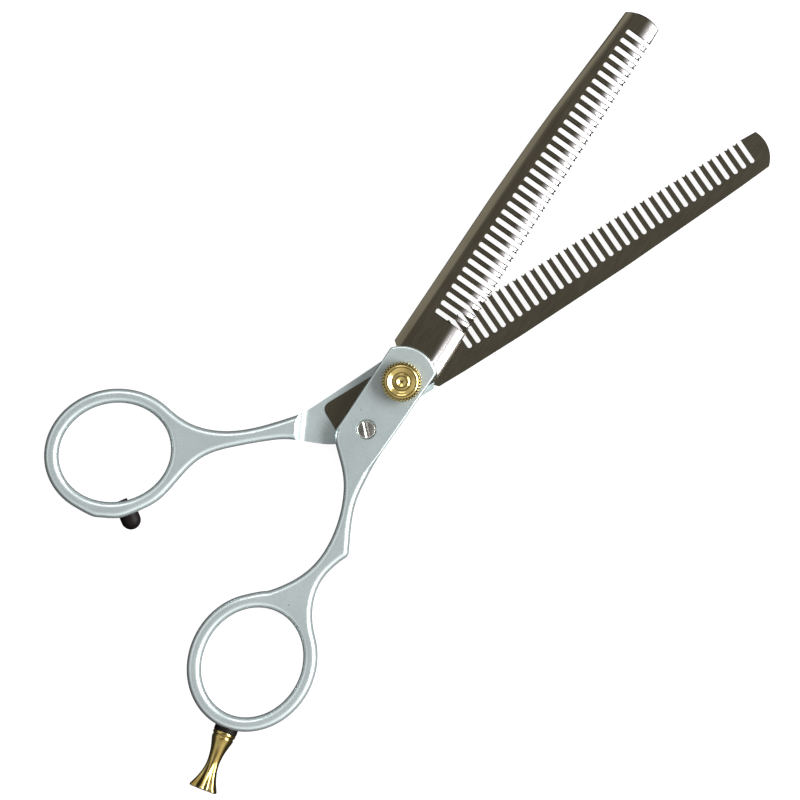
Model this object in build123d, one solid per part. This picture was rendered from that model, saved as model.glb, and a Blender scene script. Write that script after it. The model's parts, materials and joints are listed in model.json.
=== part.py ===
from build123d import *
import os
from math import asin, cos, degrees, hypot, radians, sin

# Thinning shears lying flat. Each half is a handle with a finger ring and a screwed-on toothed blade, and
# the halves turn on one bolt. The origin is on the pivot axis, level with the underside. +X runs along the
# finger blade to its tip, +Y is to its left seen from above, and +Z is up through the brass nut.
# Both halves are drawn alike: pivot at the origin, teeth and ring towards -Y, lap face at z = 0, outer
# face up. The finger half is then lifted to the lap height, and the thumb half is turned over below it.

# ---- overall sizes, mm ----
blade_reach = 88.4          # pivot to the tip of the finger blade
thumb_blade_shorter = 0.7   # how much shorter the thumb blade is
handle_reach = 63.8         # pivot to the middle of the finger ring, along the blade's line
thumb_ring_nearer = 7.05    # how much nearer the pivot the thumb ring is
finger_ring_drop = 5.33     # finger ring's middle below the blade's line
thumb_ring_drop = 17.86
rest_opening = 25.9         # angle between the blades as they lie, degrees

# ---- thicknesses and heights ----
hub_thickness = 3.55
lap_gap = 0.1               # between the two halves' lap faces
handle_thickness = 5.8      # shank and ring
blade_thickness = 2.0
edge_thickness = 0.9        # blade at the tips of the teeth

# ---- handles ----
finger_hub_radius = 7.2
thumb_hub_radius = 6.6
neck_start = 16.5           # where the hub ends and the shank's curves begin, behind the pivot
ring_hole_length = 22.9
ring_hole_width = 19.84
ring_wall = 2.85
finger_ring_tilt = 3.0      # degrees
thumb_ring_tilt = 17.1
edge_round = 1.2
edge_round_share = 0.44     # the rounding takes at most this share of the ring's wall
hub_edge_round = 0.45
hub_corner_round = 0.8
step_back = 21.44           # pivot to the foot of the step down to the lap face
step_aside = 3.57
step_angle = 37.5           # the step faces this way from the hub's line, degrees
step_run = 1.0
step_foot_round = 2.0
step_top_round = 0.4

# ---- tangs and their pockets ----
tang_length = 16.25
tang_corner = 1.5
pocket_rim = 1.05
pocket_clearance = 0.12
shoulder_gap = 0.06         # between the hub's end and the blade's shoulders

# ---- teeth ----
tooth_pitch = 2.0
slot_width = 1.0
slot_root_rise = 0.35
tip_notch = 0.35
spine_ease_width = 1.4      # gentle slope along the spine, and its fall
spine_ease_fall = 0.6
bevel_width = 3.6           # ground band over the cutting edge
shortest_spine_edge = 3.0

# ---- blade screws ----
screw_x = -11.9
screw_y = 0.75
screw_head_radius = 1.95
screw_head_height = 0.85
screw_sunk = 0.35           # top of the head below the handle's face
screw_recess_chamfer = 0.2
screw_radius = 1.4
screw_slot_width = 0.65
screw_slot_depth = 0.4
screw_slot_turn = 45.0      # direction of the slot, degrees
screw_head_chamfer = 0.2
screw_end_short = 0.1       # end of the screw above the lap face
thread_clearance = 0.03

# ---- pivot ----
bolt_radius = 2.0
bolt_head_radius = 4.0
bolt_head_height = 1.0
bolt_flat = 3.3             # middle of the head to each of its two flats
bolt_top_radius = 1.75
bolt_top_flat = 1.4         # middle to each flat of the bolt's upper end
bolt_end_gap = 0.2          # from the bolt's end to the end of the nut's bore
seat_clearance = 0.05
turn_clearance = 0.03
bush_radius = 2.6
bush_fit = 0.01
glide_radius = 3.2
glide_recess = 0.2          # depth sunk into each tang
glide_rub_gap = 0.05        # free space above the glide washer
spring_radius = 3.6
spring_wall = 0.3
spring_cone = 0.25          # height of the cone as fitted
thrust_radius = 3.5
thrust_height = 0.4
nut_radius = 4.1
nut_height = 3.0
nut_skirt_gap = 0.25        # under the skirt, so that the nut can be tightened
nut_skirt_wall = 0.4
nut_bore_depth = 1.1
nut_knurl_count = 28
nut_knurl_depth = 0.18
nut_knurl_turn = 45.0       # each groove is a square cut, corner inwards
nut_crown_radius = 3.3      # highest line of the rim
nut_crown_fall = 0.5        # from the crown down to the knurled side
nut_dish_outer = 2.95
nut_dish_fall = 0.12        # from the crown to the lip of the dish
nut_dish_floor_outer = 2.3
nut_dish_floor_inner = 1.6
nut_dish_depth = 0.75
nut_boss_radius = 1.35      # raised round in the middle of the dish
nut_boss_drop = 0.35        # its top below the crown
nut_dimple_radius = 0.45
nut_dimple_depth = 0.3

# ---- finger rest and stop ----
rest_angle = 191.5          # its axis runs out from the ring's middle, degrees from +X
rest_length = 12.4
rest_base_radius = 2.35
rest_waist_radius = 1.3
rest_end_radius = 3.15
rest_waist_share = 0.52     # of the length, from the base
rest_band = 0.5             # straight band at the base, and the bevel of the end
rest_base_lean = 106.7      # slope of its side at the base and at the end, degrees
rest_end_lean = 65.8
rest_stud_radius = 1.1
rest_stud_length = 1.7
rest_washer_height = 0.8
foot_reach = 1.0            # rubber feet are drawn this far into the ring before they are cut to its shape
bumper_radius = 2.0
bumper_stands = 3.2         # off the ring
bumper_stem_radius = 0.95
bumper_stem_end = 0.35      # how far the stem shows inside the ring
bumper_round = 108.7        # its place round the ring, degrees from +X
bumper_angle = 98.0         # its axis

# ---- worked out ----
lap_height = hub_thickness + lap_gap / 2
shank_low = lap_gap / 2 + hub_thickness - handle_thickness
outer_face = lap_gap / 2 + hub_thickness
pocket_floor = lap_gap / 2 + blade_thickness

finger = {
    "hub_radius": finger_hub_radius,
    "hub_back": 14.6,           # end of the hub's straight top edge
    "hub_high_front": 5.55,
    "hub_high_back": 5.8,
    "hub_low_front": 5.05,
    "hub_low_back": 4.35,
    "hub_low_end": 14.0,
    "hub_runs_out": ((-19.5, 0.6), (-24.0, -3.6)),  # where the hub's crisp edges have sunk into the shank
    "ring_x": -handle_reach,
    "ring_y": -finger_ring_drop,
    "ring_tilt": finger_ring_tilt,
    "ring_join": 40.0,          # where the shank's edges meet the ring, degrees round it
    "ring_leave": 318.0,
    # shank edges: share of the way from the hub to the ring's middle, and offset from the line between
    # them; the points at the ring are from its middle
    "inner": ((0.030, 4.30), (0.116, 0.48), (0.243, -2.32), (0.433, -3.12)),
    "inner_at_ring": ((17.83, 2.29), (13.86, 5.11)),
    "outer_at_ring": ((15.85, -4.25),),
    "outer": ((0.538, -5.30), (0.443, -6.74)),
    "heel": (0.397, -7.94),     # the finger stop on the outer edge
    "heel_slope": 28.8,         # of the edge on both sides of the stop, degrees
    "heel_round": 1.5,
    "outer_front": ((0.306, -6.11), (0.180, -4.37), (0.074, -4.22)),
    "bolt_hole": bush_radius + bush_fit,
    "blade_reach": blade_reach,
    "comb_start": 15.95,
    "tip_land": 4.4,            # last slot to the blade's tip
    "slot_slant": 0.3,
    "root_start": 1.65,         # height of the slots' roots near the pivot, and their fall towards the tip
    "root_fall": 1.8,
    "root_level": 0.21,         # share of the comb before the fall begins
    "edge_start": 5.65,
    "edge_end": 5.3,
    "shoulder": ((4.2, 3.2), (6.3, 5.7)),
    "spine": ((0.283, 5.4), (0.45, 5.1), (0.62, 4.55), (0.79, 3.6), (0.905, 2.8)),
    "spine_end": (1.4, 2.45),   # back from the tip, and height
    "tip": (0.0, -1.6),
    "tip_end": (0.8, -5.15),
}

thumb = {
    "hub_radius": thumb_hub_radius,
    "hub_back": 15.0,
    "hub_high_front": 4.58,
    "hub_high_back": 4.4,
    "hub_low_front": 5.83,
    "hub_low_back": 5.05,
    "hub_low_end": 15.0,
    "hub_runs_out": ((-20.5, 0.2), (-25.0, -4.2)),
    "ring_x": thumb_ring_nearer - handle_reach,
    "ring_y": -thumb_ring_drop,
    "ring_tilt": thumb_ring_tilt,
    "ring_join": 138.0,
    "ring_leave": 329.0,
    "inner": ((0.087, 4.05), (0.236, 1.92), (0.335, 1.79), (0.485, 2.15), (0.634, 3.46)),
    "inner_at_ring": ((8.73, 11.11), (2.25, 12.81), (-3.26, 12.40), (-6.24, 11.65), (-9.06, 9.83)),
    "outer_at_ring": ((14.73, 0.49), (16.74, 3.93)),
    "outer": ((0.509, -1.91), (0.286, -1.70), (0.137, -2.86)),
    "heel": None,
    "bolt_hole": bolt_radius + turn_clearance,
    "blade_reach": blade_reach - thumb_blade_shorter,
    "comb_start": 15.5,
    "tip_land": 4.15,
    "slot_slant": 0.35,
    "root_start": 1.0,
    "root_fall": 2.25,
    "root_level": 0.1,
    "edge_start": 5.75,
    "edge_end": 6.1,
    "shoulder": ((3.6, 2.2), (6.0, 4.75)),
    "spine": ((0.228, 4.7), (0.4, 4.3), (0.57, 3.7), (0.74, 2.85), (0.9, 1.95)),
    "spine_end": (1.9, 1.4),
    "tip": (0.0, -2.0),
    "tip_end": (0.6, -6.0),
}


def place_finger(shape):
    return Pos(0, 0, lap_height) * shape


def place_thumb(shape):
    return Pos(0, 0, lap_height) * Rot(0, 0, -rest_opening) * Rot(180, 0, 0) * shape


def along(reach, angle):
    return Vector(reach, 0).rotate(Axis.Z, angle)


def shank_points(half, pairs):
    """Points of a shank edge, from shares of the way from the hub to the ring's middle."""
    span = -half["ring_x"] - neck_start
    return [(-neck_start - share * span, share * half["ring_y"] + offset) for share, offset in pairs]


def ring_points(half, pairs):
    return [(half["ring_x"] + x, half["ring_y"] + y) for x, y in pairs]


def ring_edge(half, wall, start, end):
    return EllipticalCenterArc(
        (half["ring_x"], half["ring_y"]),
        ring_hole_length / 2 + wall,
        ring_hole_width / 2 + wall,
        start_angle=start,
        arc_size=end - start,
        rotation=half["ring_tilt"],
    )


def hub_front(half):
    low = -degrees(asin(half["hub_low_front"] / half["hub_radius"]))
    high = degrees(asin(half["hub_high_front"] / half["hub_radius"]))
    return CenterArc((0, 0), half["hub_radius"], low, high - low)


def handle_outline(half):
    front = hub_front(half)
    back_high = (-half["hub_back"], half["hub_high_back"])
    back_low = (-half["hub_low_end"], -half["hub_low_back"])
    top = Line(front @ 1, back_high)
    bottom = Line(back_low, front @ 0)
    ring = ring_edge(half, ring_wall, half["ring_join"], half["ring_leave"])
    inner_points = shank_points(half, half["inner"]) + ring_points(half, half["inner_at_ring"])
    outer_points = ring_points(half, half["outer_at_ring"]) + shank_points(half, half["outer"])
    inner = Spline([back_high, *inner_points, ring @ 0], tangents=[top % 1, ring % 0])
    if half["heel"] is None:
        outer = [Spline([ring @ 1, *outer_points, back_low], tangents=[ring % 1, bottom % 0])]
    else:
        heel = shank_points(half, [half["heel"]])[0]
        front_points = shank_points(half, half["outer_front"])
        outer = [
            Spline([ring @ 1, *outer_points, heel], tangents=[ring % 1, along(1, -half["heel_slope"])]),
            Spline([heel, *front_points, back_low], tangents=[along(1, half["heel_slope"]), bottom % 0]),
        ]
    face = make_face([front, top, inner, ring, *outer, bottom])
    corners = [front @ 0, front @ 1]
    face = fillet([v for v in face.vertices() if near(v, corners)], hub_corner_round)
    if half["heel"] is not None:
        face = fillet([v for v in face.vertices() if near(v, [heel])], half["heel_round"])
    return face


def near(vertex, points):
    return any((Vector(vertex) - Vector(point)).length < 0.01 for point in points)


def ring_hole(half):
    return make_face(ring_edge(half, 0, 0, 360))


def lap_cutter(half):
    """Space over the lap face, from the foot of the step forwards."""
    far = 4 * neck_start
    below = shank_low - handle_thickness
    foot = (0, lap_gap / 2)
    top = (-step_run, shank_low)
    profile = Polyline(
        foot, (far, lap_gap / 2), (far, below), (-2 * step_run, below), (-2 * step_run, shank_low), top,
        close=True,
    )
    face = make_face(profile)
    face = fillet([v for v in face.vertices() if near(v, [foot])], step_foot_round)
    face = fillet([v for v in face.vertices() if near(v, [top])], step_top_round)
    block = Pos(0, far / 2, 0) * extrude(Rot(90, 0, 0) * face, far, dir=(0, -1, 0))
    return Pos(-step_back, -step_aside, 0) * Rot(0, 0, step_angle) * block


def tang_outline(half, clearance, front):
    """The strip of blade that sits in the handle, or its pocket when a clearance is given."""
    low = -half["hub_low_back"] + pocket_rim - clearance
    high = min(half["hub_high_front"], half["hub_high_back"]) - pocket_rim + clearance
    back = -tang_length - clearance
    strip = make_face(Polyline((back, low), (front, low), (front, high), (back, high), close=True))
    return fillet([v for v in strip.vertices() if v.X < 0], tang_corner + clearance)


def hub_block(half):
    """The hub on its own, with crisper edges than the shank that it runs into."""
    front = hub_front(half)
    sides = Polyline(
        front @ 1, (-half["hub_back"], half["hub_high_back"]), half["hub_runs_out"][0],
        half["hub_runs_out"][1], (-half["hub_low_end"], -half["hub_low_back"]), front @ 0,
    )
    face = make_face([front, *sides.edges()])
    face = fillet([v for v in face.vertices() if near(v, [front @ 0, front @ 1])], hub_corner_round)
    block = extrude(Pos(0, 0, shank_low) * face, handle_thickness)
    return fillet(block.faces().filter_by(Axis.Z).edges(), hub_edge_round)


def handle(half):
    outline = handle_outline(half)
    body = extrude(Pos(0, 0, shank_low) * outline, handle_thickness)
    body -= extrude(Pos(0, 0, shank_low) * ring_hole(half), handle_thickness)
    rims = body.faces().filter_by(Axis.Z).edges()
    body = fillet(rims, min(edge_round, edge_round_share * ring_wall)) + hub_block(half)
    body -= lap_cutter(half)
    pocket = tang_outline(half, pocket_clearance, half["hub_radius"] * 2)
    body -= extrude(Pos(0, 0, -pocket_floor) * pocket, 2 * pocket_floor)
    head_floor = outer_face - screw_sunk - screw_head_height
    recess = screw_head_radius + seat_clearance
    body -= Pos(screw_x, screw_y, head_floor) * hole(recess, hub_thickness)
    body -= Pos(screw_x, screw_y, outer_face - screw_recess_chamfer / 2) * Cone(
        recess, recess + screw_recess_chamfer, screw_recess_chamfer
    )
    body -= Pos(screw_x, screw_y, 0) * hole(screw_radius + thread_clearance, outer_face)
    body -= hole(half["bolt_hole"], outer_face)
    return body


def hole(radius, depth):
    return Cylinder(radius, depth, align=(Align.CENTER, Align.CENTER, Align.MIN))


def flatted(radius, height, flat):
    """A round with two flats, standing on z = 0."""
    keep = Box(4 * radius, 2 * flat, height, align=(Align.CENTER, Align.CENTER, Align.MIN))
    return hole(radius, height) & keep


def comb_lines(half):
    """The cutting edge from the tip back to the root: slots, teeth and their notched tips."""
    reach = half["blade_reach"]
    start = half["comb_start"]
    last = reach - half["tip_land"]
    steps = int((last - start) / tooth_pitch)
    half_slot = slot_width / 2
    lines = []
    previous = Vector(reach - half["tip_end"][0], half["tip_end"][1])
    for step in range(steps, -1, -1):
        share = step / steps
        centre = start + step * tooth_pitch
        fall = max(0.0, share - half["root_level"]) / (1 - half["root_level"])
        root = half["root_start"] - half["root_fall"] * fall
        edge = -half["edge_start"] + (half["edge_start"] - half["edge_end"]) * share
        mouth = centre - half["slot_slant"]
        mouth_front = Vector(mouth + half_slot, edge)
        mouth_back = Vector(mouth - half_slot, edge)
        root_front = Vector(centre + half_slot, root)
        root_back = Vector(centre - half_slot, root)
        if step < steps:
            middle = (previous + mouth_front) * 0.5 + Vector(0, tip_notch)
            lines += [Line(previous, middle), Line(middle, mouth_front)]
        else:
            lines.append(Line(previous, mouth_front))
        lines.append(Line(mouth_front, root_front))
        lines.append(ThreePointArc(root_front, (centre, root + slot_root_rise), root_back))
        lines.append(Line(root_back, mouth_back))
        previous = mouth_back
    return lines, previous


def blade_outline(half):
    reach = half["blade_reach"]
    inside, shoulder = half["shoulder"]
    spine_end = (reach - half["spine_end"][0], half["spine_end"][1])
    tip_end = (reach - half["tip_end"][0], half["tip_end"][1])
    comb, comb_back = comb_lines(half)
    root = (inside[0], -half["edge_start"])
    spine_points = [(share * reach, height) for share, height in half["spine"]]
    lines = [
        Line(comb_back, root),
        Line(root, inside),
        Line(inside, shoulder),
        Spline([shoulder, *spine_points, spine_end]),
        ThreePointArc(spine_end, (reach, half["tip"][1]), tip_end),
        *comb,
    ]
    body = make_face(lines) - make_face(CenterArc((0, 0), half["hub_radius"] + shoulder_gap, 0, 360))
    return body + tang_outline(half, 0, half["hub_radius"] + 1)


def bevel_face(half):
    """Section of what is ground away over the cutting edge, a curve that starts level."""
    drop = blade_thickness - edge_thickness
    edge_line = -half["edge_start"]
    radius = (bevel_width**2 + drop**2) / (2 * drop)
    sweep = degrees(asin(bevel_width / radius))
    curve = CenterArc((edge_line + bevel_width, pocket_floor - radius), radius, 90, sweep)
    rest = Polyline(
        curve @ 1, (edge_line - bevel_width, pocket_floor - drop),
        (edge_line - bevel_width, pocket_floor + drop), (edge_line + bevel_width, pocket_floor + drop), curve @ 0,
    )
    return make_face([curve, *rest.edges()])


def blade(half):
    body = extrude(Pos(0, 0, lap_gap / 2) * blade_outline(half), blade_thickness)
    top = body.faces().sort_by(Axis.Z)[-1]
    spine = [
        edge for edge in top.edges()
        if edge.center().Y > 0 and edge.center().X > half["hub_radius"] and edge.length > shortest_spine_edge
    ]
    body = chamfer(spine, spine_ease_width, spine_ease_fall, reference=top)
    body -= extrude(Plane.YZ * bevel_face(half), half["blade_reach"] + half["hub_radius"])
    body -= hole(half["bolt_hole"], pocket_floor)
    body -= hole(glide_radius + seat_clearance, lap_gap / 2 + glide_recess)
    body -= Pos(screw_x, screw_y, 0) * hole(screw_radius + thread_clearance, pocket_floor)
    return body


def blade_screw():
    top = outer_face - screw_sunk
    head = Pos(screw_x, screw_y, top - screw_head_height) * hole(screw_head_radius, screw_head_height)
    head = chamfer(head.edges().group_by(Axis.Z)[-1], screw_head_chamfer)
    end = lap_gap / 2 + screw_end_short
    shank = Pos(screw_x, screw_y, end) * hole(screw_radius, top - screw_head_height - end)
    slot = Pos(screw_x, screw_y, top) * Rot(0, 0, screw_slot_turn) * Box(
        3 * screw_head_radius, screw_slot_width, 2 * screw_slot_depth
    )
    return head + shank - slot


def pivot_bolt():
    """Head at the underside, its flats in the thumb handle; flats on the upper end key the thrust washer."""
    head = flatted(bolt_head_radius, bolt_head_height, bolt_flat)
    shaft_top = 2 * lap_height
    shaft = hole(bolt_radius, shaft_top)
    end_top = nut_seat() + nut_bore_depth - bolt_end_gap
    upper = Pos(0, 0, shaft_top) * flatted(bolt_top_radius, end_top - shaft_top, bolt_top_flat)
    return Rot(0, 0, -rest_opening) * (head + shaft + upper)


def bolt_head_seat():
    """The recess for the bolt's head, in the drawn half's own frame."""
    seat = flatted(bolt_head_radius + seat_clearance, bolt_head_height, bolt_flat + seat_clearance)
    return Pos(0, 0, outer_face - bolt_head_height) * seat


def pivot_bush():
    low = lap_gap / 2 + glide_recess
    sleeve = Pos(0, 0, low) * hole(bush_radius, outer_face - low)
    return sleeve - hole(bolt_radius + turn_clearance, outer_face)


def glide_washer():
    low = -lap_gap / 2 - glide_recess
    height = -2 * low - glide_rub_gap
    disc = Pos(0, 0, low) * hole(glide_radius, height)
    return disc - Pos(0, 0, low) * hole(bolt_radius + turn_clearance, height)


def spring_washer():
    """A coned disc spring on the finger handle, pressed by the thrust washer."""
    low = 2 * lap_height
    inner = bolt_radius + 2 * seat_clearance
    section = Polyline(
        (spring_radius, low), (spring_radius, low + spring_wall),
        (inner, low + spring_wall + spring_cone), (inner, low + spring_cone), close=True,
    )
    return revolve(Plane.XZ * make_face(section), Axis.Z)


def nut_seat():
    return 2 * lap_height + spring_wall + spring_cone + thrust_height


def thrust_washer():
    low = nut_seat() - thrust_height
    disc = Pos(0, 0, low) * hole(thrust_radius, thrust_height)
    key = flatted(bolt_top_radius + seat_clearance, thrust_height, bolt_top_flat + seat_clearance)
    return disc - Pos(0, 0, low) * Rot(0, 0, -rest_opening) * key


def pivot_nut():
    """Knurled skirt over the washers, dished top, blind bore for the bolt's end."""
    low = 2 * lap_height + nut_skirt_gap
    top = low + nut_height
    seat = nut_seat()
    skirt_inner = nut_radius - nut_skirt_wall
    dish = top - nut_dish_depth
    bore = bolt_top_radius + thread_clearance
    boss = top - nut_boss_drop
    bore_end = seat + nut_bore_depth
    section = Polyline(
        (bore, seat), (skirt_inner, seat), (skirt_inner, low), (nut_radius, low),
        (nut_radius, top - nut_crown_fall), (nut_crown_radius, top),
        (nut_dish_outer, top - nut_dish_fall),
        (nut_dish_floor_outer, dish), (nut_dish_floor_inner, dish), (nut_boss_radius, boss),
        (nut_dimple_radius, boss), (0, boss - nut_dimple_depth), (0, bore_end), (bore, bore_end),
        close=True,
    )
    nut = revolve(Plane.XZ * make_face(section), Axis.Z)
    groove = Pos(nut_radius, 0, low) * Rot(0, 0, nut_knurl_turn) * Box(
        nut_knurl_depth * 2, nut_knurl_depth * 2, nut_height,
        align=(Align.CENTER, Align.CENTER, Align.MIN),
    )
    grooves = [Rot(0, 0, 360 / nut_knurl_count * step) * groove for step in range(nut_knurl_count)]
    return nut - grooves


def ring_middle():
    return shank_low + handle_thickness / 2


def ring_place(half, direction):
    """The point of the ring's outer edge in a direction from its middle."""
    turned = radians(direction - half["ring_tilt"])
    long = ring_hole_length / 2 + ring_wall
    short = ring_hole_width / 2 + ring_wall
    reach = long * short / hypot(short * cos(turned), long * sin(turned))
    return Vector(half["ring_x"], half["ring_y"]) + along(reach, direction)


def outward_plane(half, direction, axis_angle):
    """A plane at the ring's mid height, facing out of the ring."""
    place = ring_place(half, direction)
    return Plane(origin=(place.X, place.Y, ring_middle()), x_dir=(0, 0, 1), z_dir=along(1, axis_angle))


def rest_plane():
    return outward_plane(finger, rest_angle, rest_angle)


def rest_hole():
    depth = rest_stud_length + seat_clearance
    bore = Cylinder(rest_stud_radius + thread_clearance, 2 * depth)
    return rest_plane() * bore


def finger_rest_washer(body):
    height = rest_washer_height + foot_reach
    disc = hole(rest_base_radius + seat_clearance, height) - hole(rest_stud_radius + thread_clearance, height)
    return rest_plane() * Pos(0, 0, -foot_reach) * disc - body


def finger_rest():
    low = rest_washer_height
    high = low + rest_length
    stud = Cylinder(
        rest_stud_radius, rest_stud_length + low, align=(Align.CENTER, Align.CENTER, Align.MIN)
    )
    profile = [
        Line((0, low), (rest_base_radius, low)),
        Line((rest_base_radius, low), (rest_base_radius, low + rest_band)),
        Spline(
            (rest_base_radius, low + rest_band), (rest_waist_radius, low + rest_length * rest_waist_share),
            (rest_end_radius, high - rest_band), tangents=[along(1, rest_base_lean), along(1, rest_end_lean)],
        ),
        Line((rest_end_radius, high - rest_band), (rest_end_radius - rest_band, high)),
        Line((rest_end_radius - rest_band, high), (0, high)),
        Line((0, high), (0, low)),
    ]
    horn = revolve(Plane.XZ * make_face(profile), Axis.Z)
    return rest_plane() * (horn + Pos(0, 0, -rest_stud_length) * stud)


def bumper_plane():
    return outward_plane(thumb, bumper_round, bumper_angle)


def bumper_hole():
    return bumper_plane() * Cylinder(bumper_stem_radius + seat_clearance, 4 * ring_wall)


def bumper(body):
    """A domed rubber stop, its foot shaped to the ring, its stem through the ring's wall."""
    straight = bumper_stands - bumper_radius
    head = Pos(0, 0, -foot_reach) * hole(bumper_radius, straight + foot_reach)
    head += Pos(0, 0, straight) * Sphere(bumper_radius)
    stem_length = ring_wall + bumper_stem_end
    stem = Cylinder(
        bumper_stem_radius, stem_length + straight, align=(Align.CENTER, Align.CENTER, Align.MIN)
    )
    return bumper_plane() * (head + Pos(0, 0, -stem_length) * stem) - body


def save(name, shape):
    solids = shape.solids()
    shape = solids[0] if len(solids) == 1 else Compound(children=list(solids))
    shape.label = name
    export_step(shape, "parts/" + name + ".step")


def main():
    os.makedirs("parts", exist_ok=True)
    finger_body = handle(finger) - rest_hole()
    thumb_body = handle(thumb) - bumper_hole() - bolt_head_seat()
    save("finger_handle", place_finger(finger_body))
    save("thumb_handle", place_thumb(thumb_body))
    save("finger_blade", place_finger(blade(finger)))
    save("thumb_blade", place_thumb(blade(thumb)))
    save("finger_blade_screw", place_finger(blade_screw()))
    save("thumb_blade_screw", place_thumb(blade_screw()))
    save("finger_rest", place_finger(finger_rest()))
    save("finger_rest_washer", place_finger(finger_rest_washer(finger_body)))
    save("bumper", place_thumb(bumper(thumb_body)))
    save("pivot_bush", place_finger(pivot_bush()))
    save("glide_washer", place_finger(glide_washer()))
    save("pivot_bolt", pivot_bolt())
    save("spring_washer", spring_washer())
    save("thrust_washer", thrust_washer())
    save("pivot_nut", pivot_nut())


main()
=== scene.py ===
import json
import math

import bmesh
import bpy
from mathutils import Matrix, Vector

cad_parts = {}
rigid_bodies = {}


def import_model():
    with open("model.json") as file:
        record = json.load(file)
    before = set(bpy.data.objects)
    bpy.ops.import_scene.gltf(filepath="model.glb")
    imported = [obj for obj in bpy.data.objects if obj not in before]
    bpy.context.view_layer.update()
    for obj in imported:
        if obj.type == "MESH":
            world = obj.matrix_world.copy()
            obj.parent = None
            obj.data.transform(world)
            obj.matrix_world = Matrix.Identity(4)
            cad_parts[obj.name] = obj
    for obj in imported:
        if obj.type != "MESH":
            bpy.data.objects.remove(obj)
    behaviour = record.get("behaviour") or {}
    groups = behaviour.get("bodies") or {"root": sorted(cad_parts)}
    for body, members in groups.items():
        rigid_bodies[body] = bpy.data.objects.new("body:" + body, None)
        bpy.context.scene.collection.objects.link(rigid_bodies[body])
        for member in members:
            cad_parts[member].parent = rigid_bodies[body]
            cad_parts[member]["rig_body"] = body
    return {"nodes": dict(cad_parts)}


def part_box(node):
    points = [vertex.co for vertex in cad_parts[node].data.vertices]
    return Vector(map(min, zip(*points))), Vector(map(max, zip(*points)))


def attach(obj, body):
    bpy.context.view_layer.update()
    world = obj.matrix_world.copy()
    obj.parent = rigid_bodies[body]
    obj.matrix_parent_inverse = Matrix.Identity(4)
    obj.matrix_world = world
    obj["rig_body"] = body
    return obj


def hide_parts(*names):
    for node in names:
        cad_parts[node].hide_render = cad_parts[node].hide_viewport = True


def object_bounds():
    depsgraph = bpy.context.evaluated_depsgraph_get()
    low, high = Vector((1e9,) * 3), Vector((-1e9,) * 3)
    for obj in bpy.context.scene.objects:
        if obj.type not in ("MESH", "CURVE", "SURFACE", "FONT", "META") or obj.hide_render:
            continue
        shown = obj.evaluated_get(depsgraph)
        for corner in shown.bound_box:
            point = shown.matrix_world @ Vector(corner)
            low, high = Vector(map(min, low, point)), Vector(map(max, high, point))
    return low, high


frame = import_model()
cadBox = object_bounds()
nodes = frame["nodes"]
mm = 0.001
restOpening = 25.9  # degrees between the blades as they lie


def newMaterial(name, colour, metallic, roughness):
    material = bpy.data.materials.new(name)
    material.use_nodes = True
    shader = material.node_tree.nodes["Principled BSDF"]
    shader.inputs["Base Color"].default_value = (*colour, 1)
    shader.inputs["Metallic"].default_value = metallic
    shader.inputs["Roughness"].default_value = roughness
    return material, shader


def addNode(material, kind, **values):
    node = material.node_tree.nodes.new(kind)
    for key, value in values.items():
        if key in node.inputs:
            node.inputs[key].default_value = value
        else:
            setattr(node, key, value)
    return node


def join(material, output, socket):
    material.node_tree.links.new(output, socket)


def placeCoords(material, turn=0.0, scale=(1, 1, 1)):
    # metres in the row frame, stretched along its axes and then turned about the pivot
    coords = addNode(material, "ShaderNodeTexCoord")
    turned = addNode(material, "ShaderNodeMapping")
    turned.inputs["Rotation"].default_value = (0, 0, turn)
    turned.inputs["Scale"].default_value = scale
    join(material, coords.outputs["Object"], turned.inputs["Vector"])
    return turned.outputs["Vector"]


def noise(material, vector, scale, detail=3.0, rough=0.55):
    node = addNode(material, "ShaderNodeTexNoise", Scale=scale, Detail=detail, Roughness=rough)
    join(material, vector, node.inputs["Vector"])
    return node.outputs["Fac"]


def ramp(material, factor, stops):
    node = addNode(material, "ShaderNodeValToRGB")
    elements = node.color_ramp.elements
    while len(elements) < len(stops):
        elements.new(0.5)
    for element, (place, colour) in zip(elements, stops):
        element.position = place
        element.color = (*colour, 1) if len(colour) == 3 else colour
    join(material, factor, node.inputs["Fac"])
    return node.outputs["Color"]


def spread(material, factor, low, high):
    node = addNode(material, "ShaderNodeMapRange")
    node.inputs["To Min"].default_value = low
    node.inputs["To Max"].default_value = high
    join(material, factor, node.inputs["Value"])
    return node.outputs["Result"]


def bump(material, shader, height, strength, distance, under=None):
    node = addNode(material, "ShaderNodeBump", Strength=strength, Distance=distance)
    join(material, height, node.inputs["Height"])
    if under is not None:
        join(material, under, node.inputs["Normal"])
    join(material, node.outputs["Normal"], shader.inputs["Normal"])
    return node.outputs["Normal"]


def mixColours(material, factor, first, second, blend="MIX"):
    node = addNode(material, "ShaderNodeMix", data_type="RGBA", blend_type=blend)
    join(material, factor, node.inputs[0])
    for socket, value in ((node.inputs[6], first), (node.inputs[7], second)):
        if isinstance(value, tuple):
            socket.default_value = (*value, 1)
        else:
            join(material, value, socket)
    return node.outputs[2]


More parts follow.
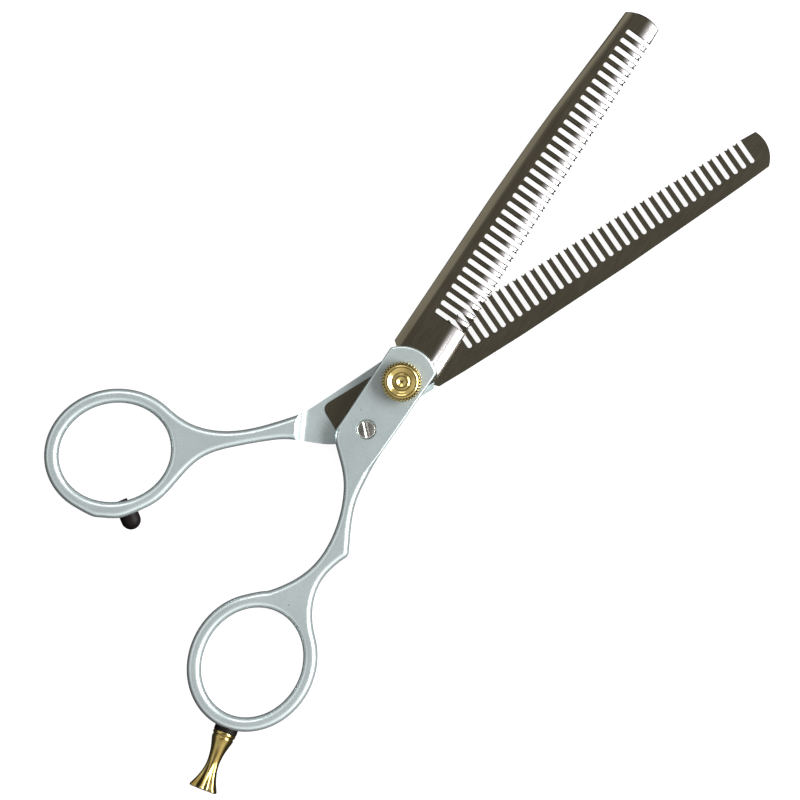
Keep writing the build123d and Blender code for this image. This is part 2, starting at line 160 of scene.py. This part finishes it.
def handlePaint():
    # silver-blue stove paint: fine flake, faint orange peel, a few dust nibs
    look = {
        "dark": (0.680, 0.780, 0.785), "light": (0.775, 0.875, 0.880), "nib": (0.26, 0.29, 0.30),
        "flake": 5200, "peel": 620, "cloud": 55, "wipe": 240, "nibScale": 210,
        "metallic": 0.72, "rough": (0.21, 0.31), "coat": 0.25, "coatRough": 0.16,
    }
    material, shader = newMaterial("handle_paint", look["light"], look["metallic"], 0.34)
    place = placeCoords(material)
    cloud = noise(material, place, look["cloud"])
    flake = noise(material, place, look["flake"], 1.0)
    base = ramp(material, cloud, [(0.35, look["dark"]), (0.65, look["light"])])
    sparkle = ramp(material, flake, [(0.3, (0.86, 0.87, 0.87)), (0.7, (1.12, 1.13, 1.13))])
    tinted = mixColours(material, flake, base, sparkle, "MULTIPLY")
    spots = addNode(material, "ShaderNodeTexVoronoi", Scale=look["nibScale"])
    join(material, place, spots.inputs["Vector"])
    nibs = ramp(material, spots.outputs["Distance"], [(0.025, (1, 1, 1)), (0.045, (0, 0, 0))])
    join(material, mixColours(material, nibs, tinted, look["nib"]), shader.inputs["Base Color"])
    wipe = noise(material, place, look["wipe"])
    join(material, spread(material, wipe, *look["rough"]), shader.inputs["Roughness"])
    peel = bump(material, shader, noise(material, place, look["peel"], 2.0), 0.06, 0.0002)
    bump(material, shader, flake, 0.05, 0.00005, peel)
    shader.inputs["Coat Weight"].default_value = look["coat"]
    shader.inputs["Coat Roughness"].default_value = look["coatRough"]
    return material


def bladeSteel(name, turn, teethSide, lapLevel):
    # brownish satin steel, brushed along X, with a few scratches across
    look = {
        "dark": (0.200, 0.178, 0.122), "light": (0.285, 0.258, 0.190),
        "grain": (260, 5200, 2600), "scratch": (2600, 180, 600),
        "ground": (0.62, 0.60, 0.60), "groundFrom": 0.0020, "groundTo": 0.0034, "lapDepth": 0.0002,
        "scratchTurn": 0.2, "cloud": 130, "rough": (0.20, 0.31),
    }
    material, shader = newMaterial(name, look["light"], 1.0, 0.32)
    along = placeCoords(material, turn, look["grain"])
    across = placeCoords(material, turn + look["scratchTurn"], look["scratch"])
    grain = noise(material, along, 1.0, 4.0, 0.6)
    cloud = noise(material, placeCoords(material), look["cloud"])
    scratches = noise(material, across, 1.0, 2.0)
    tone = mixColours(material, cloud, look["dark"], look["light"])
    streaks = ramp(material, grain, [(0.25, (0.86, 0.85, 0.84)), (0.75, (1.10, 1.10, 1.10))])
    oiled = mixColours(material, grain, tone, streaks, "MULTIPLY")
    # the band over the teeth is paler: partly the bare ground steel of the bevel, partly a painted highlight
    # where the bevel catches the light; it stops at the lap face
    split = addNode(material, "ShaderNodeSeparateXYZ")
    join(material, placeCoords(material, turn), split.inputs["Vector"])
    groundSheenBand = addNode(material, "ShaderNodeMapRange", interpolation_type="SMOOTHSTEP")
    groundSheenBand.inputs["From Min"].default_value = teethSide * look["groundFrom"]
    groundSheenBand.inputs["From Max"].default_value = teethSide * look["groundTo"]
    join(material, split.outputs["Y"], groundSheenBand.inputs["Value"])
    off = addNode(material, "ShaderNodeMapRange")
    off.inputs["From Min"].default_value = lapLevel
    off.inputs["From Max"].default_value = lapLevel - teethSide * look["lapDepth"]
    join(material, split.outputs["Z"], off.inputs["Value"])
    both = addNode(material, "ShaderNodeMath", operation="MULTIPLY")
    join(material, groundSheenBand.outputs["Result"], both.inputs[0])
    join(material, off.outputs["Result"], both.inputs[1])
    # mix in the paler teeth band: bare ground steel plus painted highlight
    colour = mixColours(material, both.outputs["Value"], oiled, look["ground"])
    join(material, colour, shader.inputs["Base Color"])
    join(material, spread(material, grain, *look["rough"]), shader.inputs["Roughness"])
    brushed = bump(material, shader, grain, 0.035, 0.00002)
    bump(material, shader, scratches, 0.02, 0.00002, brushed)
    return material


def brightSteel(name, roughness=0.24):
    # turned, nickel-bright steel
    look = {
        "dark": (0.46, 0.44, 0.40), "light": (0.62, 0.61, 0.58), "cloud": 420, "fine": 2600,
        "smoother": 0.07, "rougher": 0.08,
    }
    material, shader = newMaterial(name, (0.56, 0.545, 0.51), 1.0, roughness)
    place = placeCoords(material)
    fine = noise(material, place, look["fine"])
    tone = ramp(material, noise(material, place, look["cloud"]), [(0.3, look["dark"]), (0.7, look["light"])])
    join(material, tone, shader.inputs["Base Color"])
    rough = spread(material, fine, roughness - look["smoother"], roughness + look["rougher"])
    join(material, rough, shader.inputs["Roughness"])
    bump(material, shader, fine, 0.10, 0.00003)
    return material


def polishedBrass(name, rings):
    # lacquered brass: rings from the lathe round the nut, long polish marks on the rest
    look = {
        "dark": (0.46, 0.325, 0.080), "light": (0.68, 0.535, 0.210), "tarnish": (0.26, 0.17, 0.05),
        "cloud": 330, "stain": 900, "rings": 1500, "rough": (0.20, 0.11),
    }
    material, shader = newMaterial(name, look["light"], 1.0, 0.16)
    place = placeCoords(material)
    cloud = noise(material, place, look["cloud"], 4.0)
    tone = ramp(material, cloud, [(0.30, look["dark"]), (0.62, look["light"])])
    specks = noise(material, place, look["stain"], 5.0)
    stain = ramp(material, specks, [(0.62, (0, 0, 0)), (0.78, (0.6, 0.6, 0.6))])
    join(material, mixColours(material, stain, tone, look["tarnish"]), shader.inputs["Base Color"])
    join(material, spread(material, cloud, *look["rough"]), shader.inputs["Roughness"])
    if rings:
        wave = addNode(
            material, "ShaderNodeTexWave", wave_type="RINGS", rings_direction="Z",
            Scale=look["rings"], Distortion=0.6,
        )
        join(material, place, wave.inputs["Vector"])
        turned = bump(material, shader, wave.outputs["Fac"], 0.05, 0.00002)
        bump(material, shader, noise(material, place, 2500), 0.03, 0.00002, turned)
    else:
        bump(material, shader, noise(material, place, 1500, 3.0), 0.03, 0.00003)
    return material


def blackRubber(name):
    look = {"dark": (0.004, 0.003, 0.003), "light": (0.009, 0.007, 0.006), "cloud": 500, "grain": 3000}
    material, shader = newMaterial(name, (0.006, 0.006, 0.006), 0.0, 0.5)
    place = placeCoords(material)
    grain = noise(material, place, look["grain"])
    tone = ramp(material, noise(material, place, look["cloud"]), [(0.3, look["dark"]), (0.7, look["light"])])
    join(material, tone, shader.inputs["Base Color"])
    join(material, spread(material, grain, 0.42, 0.66), shader.inputs["Roughness"])
    shader.inputs["Specular IOR Level"].default_value = 0.16
    bump(material, shader, grain, 0.25, 0.00006)
    return material


def glidePlastic(name):
    look = {"dark": (0.70, 0.69, 0.64), "light": (0.82, 0.81, 0.77), "cloud": 300}
    material, shader = newMaterial(name, (0.78, 0.77, 0.72), 0.0, 0.42)
    place = placeCoords(material)
    join(material, spread(material, noise(material, place, 900), 0.34, 0.52), shader.inputs["Roughness"])
    tone = ramp(material, noise(material, place, look["cloud"]), [(0.3, look["dark"]), (0.7, look["light"])])
    join(material, tone, shader.inputs["Base Color"])
    shader.inputs["Subsurface Weight"].default_value = 0.05
    bump(material, shader, noise(material, place, 1800), 0.1, 0.00004)
    return material


paint = handlePaint()
brassTurned = polishedBrass("nut_brass", True)
brassLong = polishedBrass("rest_brass", False)
steel = brightSteel("bright_steel")
rubber = blackRubber("black_rubber")
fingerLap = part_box("finger_blade")[0].z
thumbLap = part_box("thumb_blade")[1].z
finishes = {
    "finger_handle": paint, "thumb_handle": paint,
    "finger_blade": bladeSteel("finger_blade_steel", 0.0, -1, fingerLap),
    "thumb_blade": bladeSteel("thumb_blade_steel", math.radians(restOpening), 1, thumbLap),
    "finger_blade_screw": steel, "thumb_blade_screw": steel, "pivot_bolt": steel, "thrust_washer": steel,
    "spring_washer": brightSteel("spring_steel", 0.34), "pivot_bush": polishedBrass("bush_brass", True),
    "pivot_nut": brassTurned, "finger_rest": brassLong, "finger_rest_washer": rubber, "bumper": rubber,
    "glide_washer": glidePlastic("glide_plastic"),
}
for node, material in finishes.items():
    nodes[node].data.materials.clear()
    nodes[node].data.materials.append(material)
print("finishes on", len(nodes), "nodes")


def addPiece(name, mesh, material, sharpFrom, body, stands):
    # sharpFrom: folds over this many degrees keep a crisp edge
    mesh.shade_smooth()
    mesh.set_sharp_from_angle(angle=math.radians(sharpFrom))
    mesh.materials.append(material)
    piece = bpy.data.objects.new(name, mesh)
    bpy.context.scene.collection.objects.link(piece)
    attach(piece, body)
    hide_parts(stands)
    return piece


def turnedPiece(name, points, faces, material, body, stands):
    mesh = bpy.data.meshes.new(name)
    mesh.from_pydata([tuple(point) for point in points], [], faces)
    mesh.validate()
    shape = bmesh.new()
    shape.from_mesh(mesh)
    bmesh.ops.recalc_face_normals(shape, faces=shape.faces)
    shape.to_mesh(mesh)
    shape.free()
    return addPiece(name, mesh, material, 50, body, stands)


def smoothed(profile, steps):
    # a curve through the points of a profile, so that a lathe cut has no corners
    out = []
    last = len(profile) - 1
    for index in range(last):
        before = profile[max(index - 1, 0)]
        start, end = profile[index], profile[index + 1]
        after = profile[min(index + 2, last)]
        for step in range(steps):
            t = step / steps
            out.append(tuple(
                0.5 * (
                    2 * b + (c - a) * t + (2 * a - 5 * b + 4 * c - d) * t**2
                    + (3 * b - a - 3 * c + d) * t**3
                )
                for a, b, c, d in zip(before, start, end, after)
            ))
    out.append(profile[-1])
    return out


def rows(rings, around):
    # quads between rings of points, with one face over each end
    faces = []
    for ring in range(rings - 1):
        for step in range(around):
            a = ring * around + step
            b = ring * around + (step + 1) % around
            faces.append((a, b, b + around, a + around))
    faces.append(tuple(range(around - 1, -1, -1)))
    faces.append(tuple((rings - 1) * around + step for step in range(around)))
    return faces


def tensionNut():
    nut = {
        "knurls": 36, "knurlDepth": 0.26, "knurlFrom": 3.55, "knurlFade": 0.3, "knurlSharp": 1.5,
        "around": 432, "height": 3.0, "largest": 4.08, "skirtInside": 3.8, "skirtHeight": 0.6,
        # radius, height: under the skirt, up the side, over the rim, through the dish and over the boss
        "underSide": [(3.72, 0.55), (3.72, 0.0), (3.95, 0.0)],
        "rim": [(4.10, 0.12), (4.12, 0.9), (4.11, 1.8), (4.05, 2.24), (3.90, 2.46), (3.68, 2.60)],
        "lip": [(3.50, 2.72), (3.32, 2.86), (3.10, 2.96), (2.90, 2.96)],
        "dish": [(2.66, 2.88), (2.36, 2.72), (2.08, 2.58), (1.84, 2.52), (1.66, 2.54), (1.54, 2.62)],
        "boss": [
            (1.42, 2.70), (1.24, 2.74), (1.04, 2.72), (0.80, 2.64), (0.54, 2.53), (0.30, 2.45), (0.05, 2.42),
        ],
    }
    low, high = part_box("pivot_nut")
    middle = (low + high) / 2
    profile = nut["underSide"] + smoothed(nut["rim"], 5) + smoothed(nut["lip"] + nut["dish"] + nut["boss"], 4)
    points = []
    for radius, height in profile:
        share = min(max((radius - nut["knurlFrom"]) / nut["knurlFade"], 0), 1)
        inside = height < nut["skirtHeight"] and radius < nut["skirtInside"]
        depth = 0 if inside else nut["knurlDepth"]
        for step in range(nut["around"]):
            turn = 2 * math.pi * step / nut["around"]
            groove = (0.5 + 0.5 * math.cos(turn * nut["knurls"])) ** nut["knurlSharp"]
            reach = min(radius, nut["largest"]) - depth * groove * share
            points.append((
                middle.x + reach * mm * math.cos(turn),
                middle.y + reach * mm * math.sin(turn),
                low.z + height / nut["height"] * (high.z - low.z),
            ))
    faces = rows(len(profile), nut["around"])
    return turnedPiece("tension_nut", points, faces, brassTurned, "pivot_nut", "pivot_nut")


def endOfRest(out, side, level):
    # middle of the outer end of the CAD rest, whose stud reaches further in than its foot
    rimDepth = 0.4 * mm
    vertices = nodes["finger_rest"].data.vertices
    reach = max(vertex.co.dot(out) for vertex in vertices)
    across = [vertex.co.dot(side) for vertex in vertices if vertex.co.dot(out) > reach - rimDepth]
    place = out * reach + side * (max(across) + min(across)) / 2
    return Vector((place.x, place.y, level))


def flutedRest():
    rest = {
        "angle": 191.5, "length": 12.4, "lobes": 6, "turn": -0.175, "around": 180,
        # share of the length, radius, depth of the flutes
        "shape": [
            (0.0, 2.20, 0.0), (0.012, 2.33, 0.0), (0.05, 2.34, 0.0), (0.066, 2.16, 0.0),
            (0.085, 2.14, 0.0), (0.105, 2.24, 0.0), (0.15, 2.12, 0.0), (0.24, 1.80, 0.0),
            (0.34, 1.52, 0.01), (0.45, 1.36, 0.03), (0.54, 1.33, 0.06), (0.64, 1.47, 0.10),
            (0.74, 1.79, 0.14), (0.84, 2.25, 0.18), (0.92, 2.72, 0.20), (0.965, 3.00, 0.21),
            (0.985, 3.02, 0.21), (0.996, 2.90, 0.21), (1.0, 2.70, 0.21),
        ],
        "face": [(0.997, 2.4, 0.2), (0.985, 1.9, 0.16), (0.972, 1.2, 0.1), (0.968, 0.4, 0.0)],
    }
    out = Vector((math.cos(math.radians(rest["angle"])), math.sin(math.radians(rest["angle"])), 0))
    side = Vector((-out.y, out.x, 0))
    low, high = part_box("finger_rest")
    start = endOfRest(out, side, (low.z + high.z) / 2) - out * rest["length"] * mm
    points = []
    stations = smoothed(rest["shape"], 4) + rest["face"]
    for share, radius, depth in stations:
        for step in range(rest["around"]):
            turn = 2 * math.pi * step / rest["around"]
            wave = abs(math.cos(rest["lobes"] * (turn + rest["turn"]) / 2))
            reach = radius * (1 - depth * wave**2)
            points.append(
                start + out * share * rest["length"] * mm
                + side * reach * mm * math.cos(turn) + Vector((0, 0, reach * mm * math.sin(turn)))
            )
    faces = rows(len(stations), rest["around"])
    return turnedPiece("fluted_rest", points, faces, brassLong, "finger_half", "finger_rest")


def easedCopy(node, name, lapSide, width):
    # the CAD blade with its outer corners eased; those on the lap face stay sharp, because they cut
    ease = {
        "weld": 0.002, "flat": 0.8, "clearOfLap": 0.3, "sharp": 28,
        # folds from and to, reach, segments: the crease beside the spine is rolled over, then corners broken
        "passes": [(12, 30, 0.9, 6), (38, 180, width, 1)],
    }
    source = nodes[node]
    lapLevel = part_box(node)[0 if lapSide < 0 else 1].z
    mesh = bpy.data.meshes.new(name)
    shape = bmesh.new()
    shape.from_mesh(source.data)
    bmesh.ops.remove_doubles(shape, verts=shape.verts, dist=ease["weld"] * mm)
    flat = math.radians(ease["flat"])
    bmesh.ops.dissolve_limit(shape, angle_limit=flat, verts=shape.verts, edges=shape.edges)
    for least, most, reach, segments in ease["passes"]:
        corners = [
            edge for edge in shape.edges
            if len(edge.link_faces) == 2 and least < math.degrees(edge.calc_face_angle()) < most
            and all(abs(vertex.co.z - lapLevel) > ease["clearOfLap"] * mm for vertex in edge.verts)
        ]
        bmesh.ops.bevel(
            shape, geom=corners, offset=reach * mm, offset_type="OFFSET", segments=segments, profile=0.5,
            affect="EDGES", clamp_overlap=False,
        )
        print(name, "edges eased", len(corners))
    shape.to_mesh(mesh)
    shape.free()
    piece = addPiece(
        name, mesh, source.data.materials[0], ease["sharp"], source["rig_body"], node
    )
    # broad faces keep their own shading, and the narrow ones beside them run into it
    even = piece.modifiers.new("even", "WEIGHTED_NORMAL")
    even.keep_sharp = True
    return piece


def slottedScrew(name, node, body, headUp):
    # cheese-head screw: domed face with a round edge, straight slot, threaded shank with a bevelled end
    screw = {
        "slotHalf": 0.34, "slotDepth": 0.45, "slotRound": 0.07, "slotTurn": 45, "dome": 0.16, "rim": 0.32,
        "rimFall": 0.6, "headDepth": 0.84, "shank": 1.38, "columns": 12, "along": 28, "around": 48,
        "edge": 0.998, "pitch": 0.4, "threadDepth": 0.14, "point": 0.3, "core": 0.3, "inHead": 0.1,
        "weld": 0.00001,
    }
    low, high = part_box(node)
    middle = (low + high) / 2
    radius = (high.x - low.x) / 2 / mm
    top, bottom, up = (high.z, low.z, 1) if headUp else (low.z, high.z, -1)
    turn = math.radians(screw["slotTurn"] - 90)
    half, cut = screw["slotHalf"], screw["slotRound"]
    deep, headDepth, shankRadius = screw["slotDepth"], screw["headDepth"], screw["shank"]
    outer = [
        half + cut + (radius * screw["edge"] - half - cut) * math.sin(math.pi / 2 * step / screw["columns"])
        for step in range(screw["columns"] + 1)
    ]
    side = [(place, 0) for place in reversed(outer)]
    side += [(half, cut), (half - cut / 2, deep - cut), (half - 2 * cut, deep), (0, deep)]
    columns = [(-place, drop) for place, drop in side]
    columns += [(place, drop) for place, drop in reversed(side[:-1])]
    shape = bmesh.new()
    grid = []
    for across, drop in columns:
        chord = math.sqrt(max(radius**2 - across**2, 0))
        line = []
        for step in range(screw["along"] + 1):
            place = chord * math.sin(math.pi * (step / screw["along"] - 0.5))
            reach = min(math.hypot(across, place) / radius, 1)
            edge = max(0, (reach * radius - radius + screw["rim"]) / screw["rim"])
            fall = screw["dome"] * reach**2
            fall += screw["rim"] * screw["rimFall"] * (1 - math.sqrt(max(1 - edge**2, 0)))
            x = across * math.cos(turn) - place * math.sin(turn)
            y = across * math.sin(turn) + place * math.cos(turn)
            z = top - up * (fall + drop) * mm
            line.append(shape.verts.new((middle.x + x * mm, middle.y + y * mm, z)))
        grid.append(line)
    for first, second in zip(grid, grid[1:]):
        for step in range(screw["along"]):
            shape.faces.new((first[step], first[step + 1], second[step + 1], second[step]))
    rim = [edge for edge in shape.edges if edge.is_boundary]
    drawn = bmesh.ops.extrude_edge_only(shape, edges=rim)["geom"]
    for item in drawn:
        if isinstance(item, bmesh.types.BMVert):
            item.co.z = top - up * headDepth * mm
    bmesh.ops.contextual_create(shape, geom=[edge for edge in shape.edges if edge.is_boundary])
    length = abs(top - bottom) / mm
    pitch, core = screw["pitch"], screw["core"]
    profile = [(core, headDepth - screw["inHead"]), (shankRadius, headDepth - screw["inHead"])]
    for step in range(int((length - headDepth - pitch) / pitch)):
        depth = headDepth + pitch / 2 + step * pitch
        profile += [(shankRadius, depth), (shankRadius - screw["threadDepth"], depth + pitch / 2)]
    point = screw["point"]
    profile += [(shankRadius, length - point), (shankRadius - point, length), (core, length)]
    shank = []
    for reach, depth in profile:
        for step in range(screw["around"]):
            angle = 2 * math.pi * step / screw["around"]
            x, y = reach * mm * math.cos(angle), reach * mm * math.sin(angle)
            shank.append(shape.verts.new((middle.x + x, middle.y + y, top - up * depth * mm)))
    for face in rows(len(profile), screw["around"]):
        shape.faces.new([shank[index] for index in face])
    bmesh.ops.remove_doubles(shape, verts=shape.verts, dist=screw["weld"] * mm)
    bmesh.ops.recalc_face_normals(shape, faces=shape.faces)
    mesh = bpy.data.meshes.new(name)
    shape.to_mesh(mesh)
    shape.free()
    return addPiece(name, mesh, steel, 50, body, node)


tensionNut()
flutedRest()
easedCopy("finger_blade", "finger_comb", -1, 0.20)
easedCopy("thumb_blade", "thumb_comb", 1, 0.13)
slottedScrew("finger_screw", "finger_blade_screw", "finger_half", True)
slottedScrew("thumb_screw", "thumb_blade_screw", "thumb_half", False)
print("turned pieces made")


def floorPiece():
    # a light table: it glows a little, so the shadows in the comb stay open
    table = {
        "half": 3.0, "below": 0.0001, "glow": 0.93, "dark": (0.19, 0.19, 0.19), "light": (0.21, 0.21, 0.21),
    }
    half = table["half"]
    mesh = bpy.data.meshes.new("floor")
    corners = [(-half, -half, 0), (half, -half, 0), (half, half, 0), (-half, half, 0)]
    mesh.from_pydata(corners, [], [(0, 1, 2, 3)])
    floor = bpy.data.objects.new("floor", mesh)
    bpy.context.scene.collection.objects.link(floor)
    material, shader = newMaterial("floor_paper", (0.2, 0.2, 0.2), 0.0, 0.9)
    fibres = noise(material, placeCoords(material), 300)
    paper = ramp(material, fibres, [(0.3, table["dark"]), (0.7, table["light"])])
    join(material, paper, shader.inputs["Base Color"])
    mesh.materials.append(material)
    floor.location.z = cadBox[0][2] - table["below"]
    shader.inputs["Emission Color"].default_value = (1, 1, 1, 1)
    shader.inputs["Emission Strength"].default_value = table["glow"]
    floor.visible_glossy = False
    floor.visible_diffuse = False
    return floor


def skyRamp(world, direction, stops):
    # from -1 to 1 along the direction, spread over the stops
    half = addNode(world, "ShaderNodeMapRange")
    half.inputs["From Min"].default_value = -1
    join(world, direction, half.inputs["Value"])
    return ramp(world, half.outputs["Result"], stops)


def studioSky():
    # a soft tent: grey overhead, brighter all round and to one side, and dark below the table
    sky = {
        # half of one plus the sine of the height above the table, and the light there
        "heights": [
            (0.0, 0.04), (0.5, 0.05), (0.58, 0.12), (0.66, 0.36), (0.76, 0.80), (0.89, 0.88), (0.95, 0.50),
            (0.985, 0.24), (1.0, 0.17),
        ],
        # from the window on the -Y side to a paler wall opposite
        "walls": [(0.0, 1.0), (0.3, 0.72), (0.5, 0.56), (0.68, 0.40), (0.84, 0.66), (1.0, 0.80)],
        "strength": 1.35,
    }
    world = bpy.data.worlds.new("studio")
    bpy.context.scene.world = world
    world.use_nodes = True
    coords = addNode(world, "ShaderNodeTexCoord")
    split = addNode(world, "ShaderNodeSeparateXYZ")
    join(world, coords.outputs["Generated"], split.inputs["Vector"])
    warm = [(height, (level, level * 0.98, level * 0.95)) for height, level in sky["heights"]]
    cool = [(place, (level, level, level * 1.02)) for place, level in sky["walls"]]
    light = addNode(world, "ShaderNodeMix", data_type="RGBA", blend_type="MULTIPLY")
    light.inputs[0].default_value = 1
    join(world, skyRamp(world, split.outputs["Z"], warm), light.inputs[6])
    join(world, skyRamp(world, split.outputs["Y"], cool), light.inputs[7])
    background = world.node_tree.nodes["Background"]
    join(world, light.outputs[2], background.inputs["Color"])
    background.inputs["Strength"].default_value = sky["strength"]


def softBox(name, place, size, power):
    # a rectangular lamp turned towards the pivot
    light = bpy.data.lights.new(name, "AREA")
    light.shape = "RECTANGLE"
    light.size, light.size_y = size
    light.energy = power
    lamp = bpy.data.objects.new(name, light)
    lamp.location = place
    lamp.rotation_mode = "QUATERNION"
    lamp.rotation_quaternion = (-Vector(place)).to_track_quat("-Z", "Y")
    bpy.context.scene.collection.objects.link(lamp)


def straightDownCamera():
    view = {
        "centre": (-3.24 * mm, -1.73 * mm), "width": 161.0 * mm, "distance": 2.5, "turn": 57.2,
        "level": 6 * mm, "sensor": 36, "clip": (0.1, 20),
    }
    data = bpy.data.cameras.new("camera")
    data.sensor_width = view["sensor"]
    data.lens = view["sensor"] * view["distance"] / view["width"]
    data.clip_start, data.clip_end = view["clip"]
    camera = bpy.data.objects.new("camera", data)
    camera.location = (*view["centre"], view["distance"] + view["level"])
    camera.rotation_euler = (0, 0, -math.radians(view["turn"]))
    bpy.context.scene.collection.objects.link(camera)
    bpy.context.scene.camera = camera


floorPiece()
studioSky()
softBox("boxRight", (0.42, -0.58, 0.62), (0.85, 0.40), 16)
softBox("boxTop", (0.62, 0.42, 0.80), (0.5, 0.35), 1.2)
straightDownCamera()
bpy.context.scene.view_settings.view_transform = "Standard"
print("studio ready")
